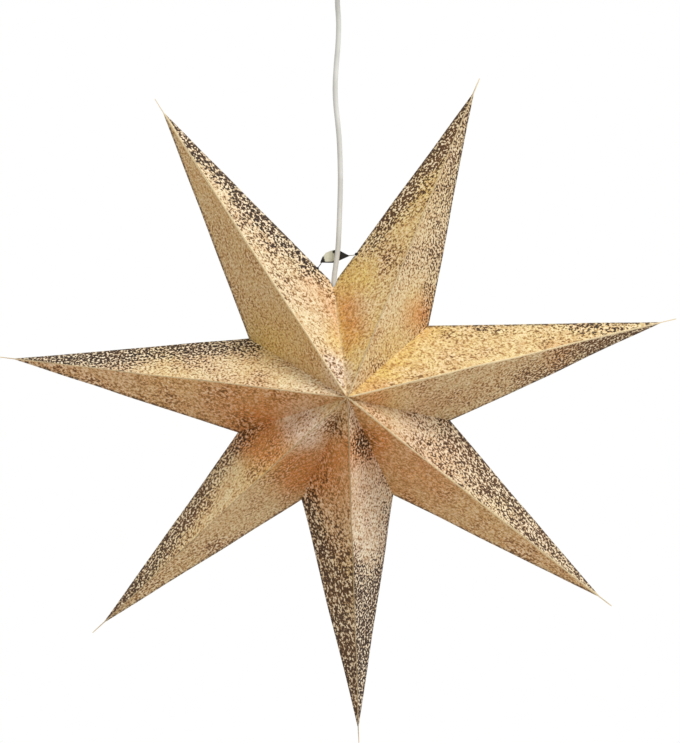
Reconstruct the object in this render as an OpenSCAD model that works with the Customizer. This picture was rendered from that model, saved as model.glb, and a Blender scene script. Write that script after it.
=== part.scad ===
// Seven-pointed paper star lantern on a pendant cord.
// Each point is two folded sheets, glued to each other along the front and back ridges.
// Neighbouring points are glued along the valleys, except at the top seam, which is tied shut
// around the cord. Lengths are in millimetres. X is right, Z is up, and the front faces -Y.
// The origin is on the ceiling, above the star.

/* [Star] */
// Reach of each folded tip from the star's centre
point_reach = 288; // [250:1:320]
// Reach of the notches between points that stand evenly
notch_reach = 96.5; // [85:0.5:108]
// Depth from the middle plane to the front centre, and to the back one
half_depth = 75; // [60:1:90]
// Drop from the ceiling to the star's centre
star_drop = 412; // [380:1:600]
// Distance of the star's centre to the right of the ceiling fitting
star_x = 4.5; // [0:0.5:10]

/* [Spread of the points] */
// Lean of the tied seam to the left of straight up
seam_lean = 4.5; // [0:0.5:8]
// Angle from point 1 to point 2, across the tied seam
angle_1_2 = 55.5; // [52:0.5:58]
// Angle from point 2 to point 3
angle_2_3 = 53.5; // [50:0.5:54]
// Angle from point 3 to point 4
angle_3_4 = 51; // [49:0.5:53]
// Angle from point 4 to point 5
angle_4_5 = 49.5; // [48:0.5:52]
// Angle from point 5 to point 6
angle_5_6 = 49.5; // [48:0.5:52]
// Angle from point 6 to point 7
angle_6_7 = 50; // [48:0.5:52]

/* [Sheet] */
// Thickness of the printed card
sheet_t = 0.4; // [0.25:0.05:0.6]
// Width of the glued flange that stands out along each ridge
ridge_flange_w = 3; // [2:0.5:4]
// Width of the glued flange that is turned in along each valley
valley_flange_w = 5; // [4:0.5:6]
// Distance from the star's axis at which the flanges stop
flange_stop = 3; // [2:0.5:5]

/* [Seam and tie] */
// Diameter of the opening that the cord takes at the top notch
cord_hole_d = 6; // [5.5:0.5:7]
// Distance of the left tie hole from the top notch, along the fold
tie_up_left = 19.5; // [16:0.5:24]
// Distance of the right tie hole from the top notch, along the fold
tie_up_right = 32.5; // [28:0.5:36]
// Diameter of the tie holes
tie_hole_d = 4; // [3:0.5:5]
// Thickness of the tie where it passes a hole
tie_d = 2.4; // [1.6:0.2:2.8]
// Height of the tie's flat bow behind the cord
bow_h = 9; // [6:0.5:11]
// Thickness of the tie's flat bow
bow_t = 1.4; // [1:0.1:2]
// Diameter of the stop knots inside the sheets
knot_d = 6; // [5.5:0.5:8]

/* [Cord] */
// Diameter of the pendant cord
cord_d = 4.5; // [4:0.1:5]
// Radial clearance around the cord in a bush or grip
cord_clear = 0.15; // [0.1:0.05:0.3]

/* [Lampholder] */
// Outer diameter of the lampholder
holder_d = 28; // [26:0.5:32]
// Thickness of the lampholder's walls
holder_wall = 2; // [1.6:0.1:2.4]
// Length of the straight skirt of the cap
cap_skirt = 14; // [12:1:18]
// Length of the body below the cap
body_len = 29; // [26:1:34]
// Length of the body's collar inside the cap
collar_len = 5; // [4:0.5:7]
// Diameter of the cap's neck at the top
neck_d = 12; // [11:0.5:13]
// Length of the cord bush
bush_len = 20; // [20:1:26]
// Diameter of the bush at its upper end
bush_top_d = 6.4; // [6:0.2:7]
// Diameter of the bush where it leaves the neck
bush_d = 8.4; // [8:0.2:9]
// Diameter of the lamp cap, the size of a small screw lamp
lamp_cap_d = 13.8; // [13.6:0.1:13.9]
// Length of the lamp cap
lamp_cap_len = 21; // [20:0.5:22]
// Thickness of the brass screw shell
shell_t = 0.5; // [0.4:0.1:0.8]
// Radial clearance between parts of the lampholder
holder_clear = 0.1; // [0.05:0.05:0.2]
// Thickness of the contact base
base_t = 6; // [5:0.5:8]
// Height of the centre contact above the contact base
contact_h = 1.5; // [1:0.5:2]

/* [Lamp] */
// Diameter of the lamp's round bulb
bulb_d = 45; // [35:1:50]
// Length of the lamp from its contact to the end of the bulb
lamp_len = 74; // [70:1:82]
// Diameter of the lamp's neck
lamp_neck_d = 19; // [18:0.5:20]

/* [Ceiling fitting] */
// Outer diameter of the ceiling cup
cup_d = 80; // [70:1:100]
// Height of the ceiling cup
cup_h = 38; // [34:1:44]
// Thickness of the cup's wall
cup_wall = 1.6; // [1.2:0.1:2]
// Rounding of the cup's lower edge
cup_round = 10; // [4:1:14]
// Width of the steel bracket
bracket_w = 16; // [14:1:20]
// Thickness of the steel bracket
bracket_t = 1.5; // [1.2:0.1:2]
// Length of the bracket's turned-down legs
leg_len = 15; // [13:1:17]
// Spacing of the two ceiling screw holes
ceiling_pitch = 50; // [44:1:56]
// Diameter of the two ceiling screw holes
ceiling_hole_d = 4.5; // [4:0.5:5]
// Diameter of the cup's side screws
side_screw_d = 3.5; // [3:0.5:4]
// Drop of the side screws below the ceiling
side_screw_drop = 9; // [8:0.5:10]
// Length of the side screws behind their heads
side_screw_len = 9; // [8:0.5:12]
// Diameter of the cord grip's threaded neck
grip_neck_d = 10; // [9:0.5:11]
// Diameter of the cord grip's collar
grip_collar_d = 17; // [15:0.5:20]
// Length of the cord grip's nose below its collar
grip_nose_len = 14; // [10:1:16]
// Width of the grip nut across its flats
nut_w = 15; // [14:0.5:17]
// Thickness of the grip nut
nut_t = 3.5; // [3:0.5:4]
// Length of the terminal block
block_len = 22; // [20:1:26]
// Width of the terminal block
block_w = 14; // [12:1:15]
// Height of the terminal block
block_h = 12; // [10:1:13]

/* [Hidden] */
$fn = 64;
LEFT = 1;
RIGHT = -1;

// Directions of the points, from +X towards +Z
angle_7_1 = 360 - angle_1_2 - angle_2_3 - angle_3_4 - angle_4_5 - angle_5_6 - angle_6_7;
gaps = [angle_1_2, angle_2_3, angle_3_4, angle_4_5, angle_5_6, angle_6_7, angle_7_1];
seam_dir = 90 + seam_lean;
function point_dir(i) = i == 1 ? seam_dir + angle_1_2 / 2 : point_dir(i - 1) - gaps[i - 2];

// The outer folds have one length all round, so a wider gap has a shallower notch
even_half_gap = 180 / len(gaps);
fold_len = norm([
  point_reach - notch_reach * cos(even_half_gap),
  notch_reach * sin(even_half_gap)
]);
function notch_at(gap) =
  point_reach * cos(gap / 2) - sqrt(pow(fold_len, 2) - pow(point_reach * sin(gap / 2), 2));

// A facet's outer face is the plane u / point_reach + k v + w / half_depth = 1
function facet_k(h, r) = (1 - r * cos(h) / point_reach) / (r * sin(h));
function facet_size(h, r) = norm([1 / point_reach, facet_k(h, r), 1 / half_depth]);
function flange_share(width, reach) = width * norm([1 / reach, 1 / half_depth]);

// The tied seam, measured in the plane that holds the axis and the top notch
seam_reach = notch_at(angle_1_2);
seam_flange = flange_share(valley_flange_w, seam_reach);
notch_x = seam_reach * cos(seam_dir);
notch_z = seam_reach * sin(seam_dir);
// Height at which the seam's turned-in flanges stand y apart from the middle plane
function seam_z(y) = seam_reach * (1 - y / half_depth - seam_flange) * sin(seam_dir);

// Lampholder: heights above the star's centre, on a vertical axis under the top notch
holder_x = star_x + notch_x;
bore_r = cord_d / 2 + cord_clear;
shoulder_z = seam_z(holder_d / 2);
neck_z = seam_z(neck_d / 2 + 0.4);
bush_z = seam_z(bush_top_d / 2 + 0.6);
cap_end_z = shoulder_z - cap_skirt;
collar_z = cap_end_z + collar_len;
base_z = cap_end_z;
ledge_z = base_z - base_t;
ledge_t = 1.5;
mouth_z = cap_end_z - body_len;
lamp_z = ledge_z - contact_h;
inner_r = holder_d / 2 - holder_wall;
collar_r = inner_r - holder_clear;
collar_wall = 1.6;
shell_r = lamp_cap_d / 2 + holder_clear;
base_r = collar_r - collar_wall - holder_clear;
contact_r = 3;

// Ceiling fitting: heights below the ceiling
cup_r = cup_d / 2;
leg_x = sqrt(pow(cup_r - cup_wall, 2) - pow(bracket_w / 2, 2)) - 0.15;
collar_t = 3;
grip_z = -cup_h - collar_t - grip_nose_len;
thread_up = nut_t + 2;
block_z = -bracket_t - block_h;

// Cord: each point is its distance right of the ceiling fitting and its height above the
// star's centre, chosen by eye along the hanging cord
cord_wave = [
  [0, 343], [1, 326], [0.5, 308], [-1, 290], [-2, 271], [-1.5, 256], [0, 241], [1.5, 225],
  [2.3, 205], [2.5, 185], [1.7, 156], [0.5, 131], [-1.5, 115], [-3, 103]
];
cord_route = concat(
  [[0, block_z], [0, -cup_h], [0, grip_z - 2]],
  [for (p = cord_wave) [p[0], p[1] - star_drop]],
  [[holder_x, bush_z - star_drop], [holder_x, neck_z - holder_wall - star_drop],
   [holder_x, base_z - star_drop]]
);
rings_per_span = 2;
cord_sides = 10;

// Corners of one sheet: u out along the point, v across it, w away from the middle plane.
// The first eight lie in the middle plane, then ten in front, then the same ten behind.
function sheet_corners(h, r) =
  let (
    k = facet_k(h, r),
    thin = sheet_t * facet_size(h, r),
    ridge = flange_share(ridge_flange_w, point_reach),
    valley = flange_share(valley_flange_w, r),
    across = [cos(h), sin(h)],
    turn = sheet_t * [sin(h), -cos(h)],
    stop_v = flange_stop * across,
    inner = r * (1 - thin - turn[0] / point_reach - k * turn[1]),
    height = function (p, less) half_depth * (1 - less - p[0] / point_reach - k * p[1]),
    middle = [
      [point_reach * (1 - thin), 0],
      [point_reach * (1 + ridge), 0],
      [point_reach * (1 + ridge), sheet_t],
      [point_reach * (1 - k * sheet_t), sheet_t],
      r * across,
      r * (1 - valley) * across,
      r * (1 - valley) * across + turn,
      inner * across + turn
    ],
    half = [
      [flange_stop, 0, height([flange_stop, 0], -ridge)],
      [flange_stop, sheet_t, height([flange_stop, 0], -ridge)],
      [flange_stop, sheet_t, height([flange_stop, sheet_t], 0)],
      [flange_stop, 0, height([flange_stop, 0], 0)],
      [0, 0, half_depth],
      [0, 0, half_depth * (1 - thin)],
      [stop_v[0], stop_v[1], height(stop_v, thin)],
      [stop_v[0], stop_v[1], height(stop_v, valley)],
      [stop_v[0] + turn[0], stop_v[1] + turn[1], height(stop_v, valley)],
      [stop_v[0] + turn[0], stop_v[1] + turn[1], height(stop_v + turn, thin)]
    ]
  )
  concat(
    [for (p = middle) [p[0], 0, p[1]]],
    [for (p = half) [p[0], -p[2], p[1]]],
    [for (p = half) [p[0], p[2], p[1]]]
  );

// Triangles that fan out from a face's first corner, for a face with a step in its outline
function fan(f) = [for (i = [1:len(f) - 2]) [f[0], f[i], f[i + 1]]];

// Faces of the front half, each corner counted as in sheet_corners
front_faces = concat(
  fan([10, 11, 12, 4, 3]),
  fan([11, 8, 1, 0, 13, 12]),
  fan([14, 15, 5, 4, 12, 13]),
  fan([17, 14, 13, 0, 7]),
  [
    [10, 3, 2, 9],
    [11, 10, 9, 8],
    [9, 2, 1, 8],
    [17, 7, 6, 16],
    [14, 17, 16, 15],
    [15, 16, 6, 5]
  ]
);
back_faces = [
  for (f = front_faces) [for (i = [len(f) - 1:-1:0]) f[i] < 8 ? f[i] : f[i] + 10]
];

// One sheet with its point along +X. The left one lies on the +Z side, the right one mirrors it.
module sheet(gap, side) {
  mirror([0, 0, side == LEFT ? 0 : 1])
    polyhedron(sheet_corners(gap / 2, notch_at(gap)), concat(front_faces, back_faces), 4);
}

module at_star() {
  translate([star_x, 0, -star_drop]) children();
}

// Gap on a side of point i: the left one is the gap before it, the right one the gap after it
function gap_of(i, side) =
  side == RIGHT ? gaps[i - 1] : gaps[(i + len(gaps) - 2) % len(gaps)];

module point_sheet(i, side) {
  color(side == LEFT ? "#c79a55" : "#e2cf9f")
    at_star() rotate([0, -point_dir(i), 0]) sheet(gap_of(i, side), side);
}

// Places on an outer fold beside the tied seam, q from the notch and g inside the fold.
// The answer is [x, z] in the star's own frame.
function fold_place(i, side, q, g) =
  let (
    h = angle_1_2 / 2,
    notch = seam_reach * [cos(h), sin(h)],
    along = ([point_reach, 0] - notch) / fold_len,
    inward = [-along[1], along[0]] * -1,
    p = notch + q * along + g * inward,
    a = point_dir(i)
  )
  [p[0] * cos(a) - side * p[1] * sin(a), p[0] * sin(a) + side * p[1] * cos(a)];

// The opening runs from the cord bush's upper end to well above the notch
module cord_opening() {
  translate([notch_x, 0, bush_z])
    cylinder(d = cord_hole_d, h = notch_z - bush_z + bush_len, $fn = 12);
}

module tie_hole(i, side, q) {
  outer = fold_place(i, side, q, -4);
  inner = fold_place(i, side, q, 4);
  turn = atan2(inner[1] - outer[1], inner[0] - outer[0]);
  translate([outer[0], 0, outer[1]])
    rotate([0, 90 - turn, 0]) cylinder(d = tie_hole_d, h = 8, $fn = 12);
}

// The two end sheets leave room for the cord, and have a hole on the fold for the tie
module seam_sheet(i, side, q) {
  color(side == LEFT ? "#c79a55" : "#e2cf9f")
    at_star() difference() {
      rotate([0, -point_dir(i), 0]) sheet(angle_1_2, side);
      cord_opening();
      tie_hole(i, side, q);
    }
}

// Depth of a stop knot's centre inside the fold, where it is wedged between the two facets
seam_k = facet_k(angle_1_2 / 2, seam_reach);
fold_sine = norm([1 / point_reach, seam_k]) / facet_size(angle_1_2 / 2, seam_reach);
knot_in = (knot_d / 2 + sheet_t) / fold_sine;
bow_y = cord_d / 2 + 0.5;

module tie_ball(p, y, d) {
  translate([p[0], y, p[1]]) sphere(d = d, $fn = 16);
}

module bow_corner(p) {
  translate([p[0], bow_y, p[1]]) rotate([-90, 0, 0]) cylinder(d = 1.6, h = bow_t, $fn = 24);
}

module tie_half(i, side, q, tip) {
  knot = fold_place(i, side, q, knot_in);
  mouth = fold_place(i, side, q, -2);
  tie_ball(knot, 0, knot_d);
  hull() {
    tie_ball(knot, 0, tie_d);
    tie_ball(mouth, 0, tie_d);
  }
  hull() {
    tie_ball(mouth, 0, tie_d);
    tie_ball(tip, bow_y + bow_t / 2, bow_t);
  }
}

module closing_tie() {
  left = fold_place(1, RIGHT, tie_up_left, -2) + [2, 3.5];
  right = fold_place(2, LEFT, tie_up_right, -2) + [-3.5, -2];
  middle = (left + right) / 2;
  color("#3a3226") at_star() {
    tie_half(1, RIGHT, tie_up_left, left);
    tie_half(2, LEFT, tie_up_right, right);
    hull() {
      bow_corner(left);
      bow_corner(middle + [-1, bow_h / 2]);
      bow_corner(right);
      bow_corner(middle - [-1, bow_h / 2]);
    }
  }
}

// A smooth curve through the cord's points
function curve_point(a, b, c, d, t) =
  0.5 * (2 * b + (c - a) * t + (2 * a - 5 * b + 4 * c - d) * t * t
  + (3 * b - a - 3 * c + d) * t * t * t);
function route_point(i) = cord_route[min(max(i, 0), len(cord_route) - 1)];
cord_line = concat(
  [
    for (i = [0:len(cord_route) - 2], j = [0:rings_per_span - 1])
      curve_point(
        route_point(i - 1), route_point(i), route_point(i + 1), route_point(i + 2),
        j / rings_per_span
      )
  ],
  [route_point(len(cord_route) - 1)]
);

// Each ring is level, since the cord hangs nearly straight down
module pendant_cord() {
  n = cord_sides;
  last = len(cord_line) - 1;
  corners = [
    for (p = cord_line, j = [0:n - 1])
      [p[0] + cord_d / 2 * cos(360 * j / n), cord_d / 2 * sin(360 * j / n), p[1]]
  ];
  walls = [
    for (i = [0:last - 1], j = [0:n - 1])
      [i * n + j, (i + 1) * n + j, (i + 1) * n + (j + 1) % n, i * n + (j + 1) % n]
  ];
  ends = [[for (j = [0:n - 1]) j], [for (j = [n - 1:-1:0]) last * n + j]];
  color("#f4f3ee") polyhedron(corners, concat(walls, ends), 4);
}

module at_holder() {
  translate([holder_x, 0, -star_drop]) children();
}

module cord_bush() {
  r = bush_d / 2;
  head_z = neck_z - holder_wall - 0.2;
  color("#f2f1ec") at_holder() rotate_extrude() polygon([
    [bore_r, bush_z],
    [bush_top_d / 2, bush_z],
    [r, neck_z],
    [r, head_z],
    [r + 1, head_z],
    [r + 1, head_z - 3],
    [r, head_z - 3],
    [r, bush_z - bush_len],
    [bore_r, bush_z - bush_len]
  ]);
}

// The cap's cone sits under the seam, and its shoulder carries the star
module lampholder_cap() {
  hole_r = bush_d / 2 + holder_clear;
  color("#f2f1ec") at_holder() rotate_extrude() polygon([
    [hole_r, neck_z],
    [neck_d / 2, neck_z],
    [holder_d / 2, shoulder_z],
    [holder_d / 2, cap_end_z],
    [inner_r, cap_end_z],
    [inner_r, shoulder_z - 1],
    [neck_d / 2 + 0.5, neck_z - holder_wall - 1],
    [neck_d / 2, neck_z - holder_wall],
    [hole_r, neck_z - holder_wall]
  ]);
}

module lampholder_body() {
  seat_r = collar_r - collar_wall;
  color("#f2f1ec") at_holder() rotate_extrude() polygon([
    [seat_r, collar_z],
    [collar_r, collar_z],
    [collar_r, cap_end_z],
    [holder_d / 2, cap_end_z],
    [holder_d / 2, mouth_z],
    [inner_r, mouth_z],
    [inner_r, ledge_z - ledge_t],
    [shell_r + shell_t + holder_clear, ledge_z - ledge_t],
    [shell_r + shell_t + holder_clear, ledge_z],
    [seat_r, ledge_z]
  ]);
}

module contact_base() {
  color("#e8e4d8") at_holder() translate([0, 0, ledge_z]) cylinder(r = base_r, h = base_t);
}

module centre_contact() {
  color("#c9a44a") at_holder()
    translate([0, 0, ledge_z - contact_h]) cylinder(r = contact_r, h = contact_h);
}

module screw_shell() {
  color("#c9a44a") at_holder() translate([0, 0, ledge_z - lamp_cap_len + 1]) difference() {
    cylinder(r = shell_r + shell_t, h = lamp_cap_len - 1);
    translate([0, 0, -1]) cylinder(r = shell_r, h = lamp_cap_len + 1);
  }
}

// The lamp is sealed: a metal cap, a neck and a round opal bulb, in one solid
module lamp() {
  bulb_r = bulb_d / 2;
  neck_r = lamp_neck_d / 2;
  cap_z = lamp_z - lamp_cap_len;
  bulb_z = lamp_z - lamp_len + bulb_r;
  join = bulb_r * cos(asin(neck_r / bulb_r));
  color("#f6f3ea") at_holder() {
    translate([0, 0, cap_z]) cylinder(d = lamp_cap_d, h = lamp_cap_len);
    translate([0, 0, bulb_z]) sphere(d = bulb_d);
    translate([0, 0, bulb_z + join - 1]) cylinder(r = neck_r, h = cap_z - bulb_z - join + 1);
  }
}

function cup_outline(r, low, round, top) = concat(
  [[0, top], [r, top]],
  [for (a = [0:-10:-90]) [r - round + round * cos(a), low + round + round * sin(a)]],
  [[0, low]]
);

module side_screw_places() {
  for (side = [0, 180])
    rotate([0, 0, side]) translate([cup_r, 0, -side_screw_drop]) children();
}

module ceiling_cup() {
  color("#f4f3ee") difference() {
    rotate_extrude() polygon(cup_outline(cup_r, -cup_h, cup_round, 0));
    rotate_extrude() polygon(cup_outline(cup_r - cup_wall, cup_wall - cup_h, cup_round - 1, 1));
    translate([0, 0, -cup_h - 1]) cylinder(d = grip_neck_d + 2 * holder_clear, h = 10);
    side_screw_places()
      translate([-cup_wall - 3, 0, 0]) rotate([0, 90, 0]) cylinder(d = side_screw_d + 0.4, h = 8);
  }
}

module cup_cord_grip() {
  neck_top = cup_wall - cup_h + thread_up;
  color("#f4f3ee") rotate_extrude() polygon([
    [bore_r, neck_top],
    [grip_neck_d / 2, neck_top],
    [grip_neck_d / 2, -cup_h],
    [grip_collar_d / 2, -cup_h],
    [grip_collar_d / 2 - 1, -cup_h - collar_t],
    [bore_r + 1.2, grip_z],
    [bore_r, grip_z]
  ]);
}

module cup_grip_nut() {
  color("#f4f3ee") translate([0, 0, cup_wall - cup_h]) difference() {
    cylinder(d = nut_w / cos(30), h = nut_t, $fn = 6);
    translate([0, 0, -1]) cylinder(d = grip_neck_d + 2 * holder_clear, h = nut_t + 2);
  }
}

module ceiling_bracket() {
  color("#b9bcc0") difference() {
    translate([-leg_x, -bracket_w / 2, -leg_len]) cube([2 * leg_x, bracket_w, leg_len]);
    translate([bracket_t - leg_x, -bracket_w / 2 - 1, -leg_len - 1])
      cube([2 * (leg_x - bracket_t), bracket_w + 2, leg_len + 1 - bracket_t]);
    for (x = [-ceiling_pitch / 2, ceiling_pitch / 2])
      translate([x, 0, -bracket_t - 1]) cylinder(d = ceiling_hole_d, h = bracket_t + 2);
    side_screw_places()
      translate([-cup_wall - 6, 0, 0]) rotate([0, 90, 0]) cylinder(d = side_screw_d + 0.1, h = 8);
  }
}

module cup_side_screws() {
  color("#d4d6d9") side_screw_places() {
    translate([-side_screw_len, 0, 0])
      rotate([0, 90, 0]) cylinder(d = side_screw_d, h = side_screw_len + 0.5);
    difference() {
      rotate([0, 90, 0]) cylinder(d = 2 * side_screw_d, h = 2);
      translate([1.2, -0.4, -side_screw_d]) cube([2, 0.8, 2 * side_screw_d]);
    }
  }
}

// Two wire ways run along the block, with a clamp screw over each end of both
module terminal_block() {
  way_d = 3.4;
  color("#efece2") difference() {
    translate([-block_len / 2, -block_w / 2, block_z]) cube([block_len, block_w, block_h]);
    for (y = [-block_w / 4, block_w / 4]) {
      translate([-block_len / 2 - 1, y, block_z + block_h / 2])
        rotate([0, 90, 0]) cylinder(d = way_d, h = block_len + 2, $fn = 24);
      for (x = [-block_len / 4, block_len / 4])
        translate([x, y, block_z - 1]) cylinder(d = way_d, h = block_h / 4 + 1, $fn = 24);
    }
  }
}

point_sheet(1, LEFT);  // point_1_left
seam_sheet(1, RIGHT, tie_up_left);  // point_1_right
seam_sheet(2, LEFT, tie_up_right);  // point_2_left
point_sheet(2, RIGHT);  // point_2_right
point_sheet(3, LEFT);  // point_3_left
point_sheet(3, RIGHT);  // point_3_right
point_sheet(4, LEFT);  // point_4_left
point_sheet(4, RIGHT);  // point_4_right
point_sheet(5, LEFT);  // point_5_left
point_sheet(5, RIGHT);  // point_5_right
point_sheet(6, LEFT);  // point_6_left
point_sheet(6, RIGHT);  // point_6_right
point_sheet(7, LEFT);  // point_7_left
point_sheet(7, RIGHT);  // point_7_right
closing_tie();
pendant_cord();
cord_bush();
lampholder_cap();
lampholder_body();
contact_base();
centre_contact();
screw_shell();
lamp();
ceiling_cup();
cup_cord_grip();
cup_grip_nut();
ceiling_bracket();
cup_side_screws();
terminal_block();
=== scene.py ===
# %% [markdown]
# # A paper star lantern on its cord
# A seven-pointed star of printed card hangs from a white cord. The CAD model gives the size of
# every piece. This lesson dresses it: the card gets its folds, its print and its worn edges, with
# some painted light and shade, and the cord, the tie and the ceiling fitting get their real
# finishes.

# %% Load the frame
import bpy
import math
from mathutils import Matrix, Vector


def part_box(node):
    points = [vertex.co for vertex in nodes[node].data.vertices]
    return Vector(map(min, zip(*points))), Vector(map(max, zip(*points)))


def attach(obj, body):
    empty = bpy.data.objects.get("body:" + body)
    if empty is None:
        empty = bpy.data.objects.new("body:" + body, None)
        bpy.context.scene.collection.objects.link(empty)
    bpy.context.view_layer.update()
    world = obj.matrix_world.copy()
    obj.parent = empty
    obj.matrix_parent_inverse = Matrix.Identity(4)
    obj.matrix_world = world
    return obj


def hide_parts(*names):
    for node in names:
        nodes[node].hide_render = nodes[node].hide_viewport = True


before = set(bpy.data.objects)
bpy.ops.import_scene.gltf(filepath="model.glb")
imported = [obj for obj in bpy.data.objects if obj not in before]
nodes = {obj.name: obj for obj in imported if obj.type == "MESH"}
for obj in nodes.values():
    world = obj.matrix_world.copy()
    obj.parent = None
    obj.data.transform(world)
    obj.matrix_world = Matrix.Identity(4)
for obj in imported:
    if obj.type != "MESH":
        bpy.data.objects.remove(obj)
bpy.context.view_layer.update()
MM = 0.001

# %% [markdown]
# ## The camera
# The photograph was taken from about 2.5 m, a little from the left and just below the star's
# centre. A long lens at that distance keeps the points straight, so the lens is worked out from
# the height of the view at the star.

# %% Camera
STAR = Vector((4.5, 0.0, -412.0)) * MM
VIEW_CENTRE = Vector((2.2, 0.0, -389.2)) * MM
VIEW_HEIGHT = 645.7 * MM
CAMERA_DISTANCE = 2.5
AZIMUTH = math.radians(-2.9)
ELEVATION = math.radians(-0.9)
SENSOR = 24.0

camera = bpy.data.objects.new("camera", bpy.data.cameras.new("camera"))
bpy.context.scene.collection.objects.link(camera)
camera.data.sensor_fit = "VERTICAL"
camera.data.sensor_height = SENSOR
camera.data.lens = SENSOR * CAMERA_DISTANCE / VIEW_HEIGHT
backwards = Vector((
    math.sin(AZIMUTH) * math.cos(ELEVATION),
    -math.cos(AZIMUTH) * math.cos(ELEVATION),
    math.sin(ELEVATION),
))
camera.location = VIEW_CENTRE + CAMERA_DISTANCE * backwards
camera.rotation_mode = "QUATERNION"
camera.rotation_quaternion = (-backwards).to_track_quat("-Z", "Y")
bpy.context.scene.camera = camera
print("lens", round(camera.data.lens, 1), "mm")

# %% [markdown]
# ## Small helpers
# Every finish is a short node tree. One function adds a node with its settings and links, and one
# turns an sRGB hex colour into the linear numbers that Blender works in.

# %% Node helpers
def hex_colour(code):
    """An sRGB hex colour as linear red, green, blue and alpha."""
    channels = [int(code[i:i + 2], 16) / 255 for i in (0, 2, 4)]
    linear = [c / 12.92 if c <= 0.04045 else ((c + 0.055) / 1.055) ** 2.4 for c in channels]
    return (*linear, 1.0)


def feed(tree, node, inputs):
    """Fills a node's inputs, each with a number, a hex colour, a node or a node's output."""
    for key, value in inputs.items():
        if isinstance(value, bpy.types.Node):
            value = next(output for output in value.outputs if output.enabled)
        if isinstance(value, bpy.types.NodeSocket):
            tree.links.new(value, node.inputs[key])
        else:
            value = hex_colour(value) if isinstance(value, str) else value
            node.inputs[key].default_value = value


def add_node(tree, kind, inputs=None, **settings):
    """Adds a node with its settings, and feeds its inputs."""
    made = tree.nodes.new("ShaderNode" + kind)
    for name, value in settings.items():
        setattr(made, name, value)
    feed(tree, made, inputs or {})
    return made


def new_material(name, colour, roughness, metallic=0.0, ior=1.5):
    """A named material, with its tree and its main shader."""
    material = bpy.data.materials.new(name)
    material.use_nodes = True
    shader = material.node_tree.nodes["Principled BSDF"]
    feed(material.node_tree, shader, {
        "Base Color": colour, "Roughness": roughness, "Metallic": metallic, "IOR": ior})
    return material, material.node_tree, shader


def dress(material, *names):
    """Gives CAD nodes a finish through their own material slots."""
    for name in names:
        for holder in nodes[name].material_slots:
            holder.material = material
    print(material.name, "on", ", ".join(names))


def deselect_all():
    """Nothing stays selected, so that the next operator acts on its own piece alone."""
    if bpy.context.object and bpy.context.object.mode != "OBJECT":
        bpy.ops.object.mode_set(mode="OBJECT")
    bpy.ops.object.select_all(action="DESELECT")


# %% [markdown]
# ## The pendant cord
# The cord is a light PVC lead, 4.5 mm thick. It runs from the terminal block in the ceiling cup
# down to the contacts in the lampholder, and it hangs nearly straight with the slight waves that
# a lead keeps from its coil. A curve with a round bevel, turned into mesh, is the plain way to make
# it. Its points repeat the CAD route, in millimetres from the ceiling.

# %% Cord route
CORD_DIAMETER = 4.5 * MM
HOLDER_X = -3.29
BUSH_TOP_Z = -326.25
CORD_POINTS = [
    (0, -13.5), (0, -38), (0, -57),
    (0, -69), (1, -86), (0.5, -104), (-1, -122), (-2, -141), (-1.5, -156), (0, -171),
    (1.5, -187), (2.3, -207), (2.5, -227), (1.7, -256), (0.5, -281), (-1.5, -297), (-3, -309),
    (HOLDER_X, BUSH_TOP_Z), (HOLDER_X, -331.7), (HOLDER_X, -353.7),
]
STEPS = 4


def smooth_line(points, steps):
    """A smooth curve through all the points, with some steps between each two."""
    line = []
    for i in range(len(points) - 1):
        a, b, c, d = (points[min(max(j, 0), len(points) - 1)] for j in range(i - 1, i + 3))
        for j in range(steps):
            t = j / steps
            line.append(0.5 * (2 * b + (c - a) * t + (2 * a - 5 * b + 4 * c - d) * t * t
                               + (3 * b - a - 3 * c + d) * t ** 3))
    return line + [points[-1]]


cord_line = smooth_line([Vector((x, 0.0, z)) * MM for x, z in reversed(CORD_POINTS)], STEPS)

# %% Tube along a line
CORD_SIDES = 16
MERGE = 0.01 * MM
SMOOTH_TO = math.radians(40)


def tube(name, line, diameter, sides):
    """A closed round tube along a line, made as a bevelled curve and turned into mesh."""
    curve = bpy.data.curves.new(name, "CURVE")
    curve.dimensions = "3D"
    curve.bevel_depth = diameter / 2
    curve.bevel_resolution = sides // 2 - 2
    curve.use_fill_caps = True
    run = curve.splines.new("POLY")
    run.points.add(len(line) - 1)
    for point, place in zip(run.points, line):
        point.co = (*place, 1.0)
    piece = bpy.data.objects.new(name, curve)
    bpy.context.scene.collection.objects.link(piece)
    deselect_all()
    piece.select_set(True)
    bpy.context.view_layer.objects.active = piece
    bpy.ops.object.convert(target="MESH")
    bpy.ops.object.mode_set(mode="EDIT")
    bpy.ops.mesh.select_all(action="SELECT")
    bpy.ops.mesh.remove_doubles(threshold=MERGE)
    bpy.ops.mesh.normals_make_consistent(inside=False)
    bpy.ops.object.mode_set(mode="OBJECT")
    bpy.ops.object.shade_smooth_by_angle(angle=SMOOTH_TO)
    return piece


cord = tube("pendant_lead", cord_line, CORD_DIAMETER, CORD_SIDES)
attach(cord, "root")
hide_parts("pendant_cord")
print("cord faces", len(cord.data.polygons))

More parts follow.
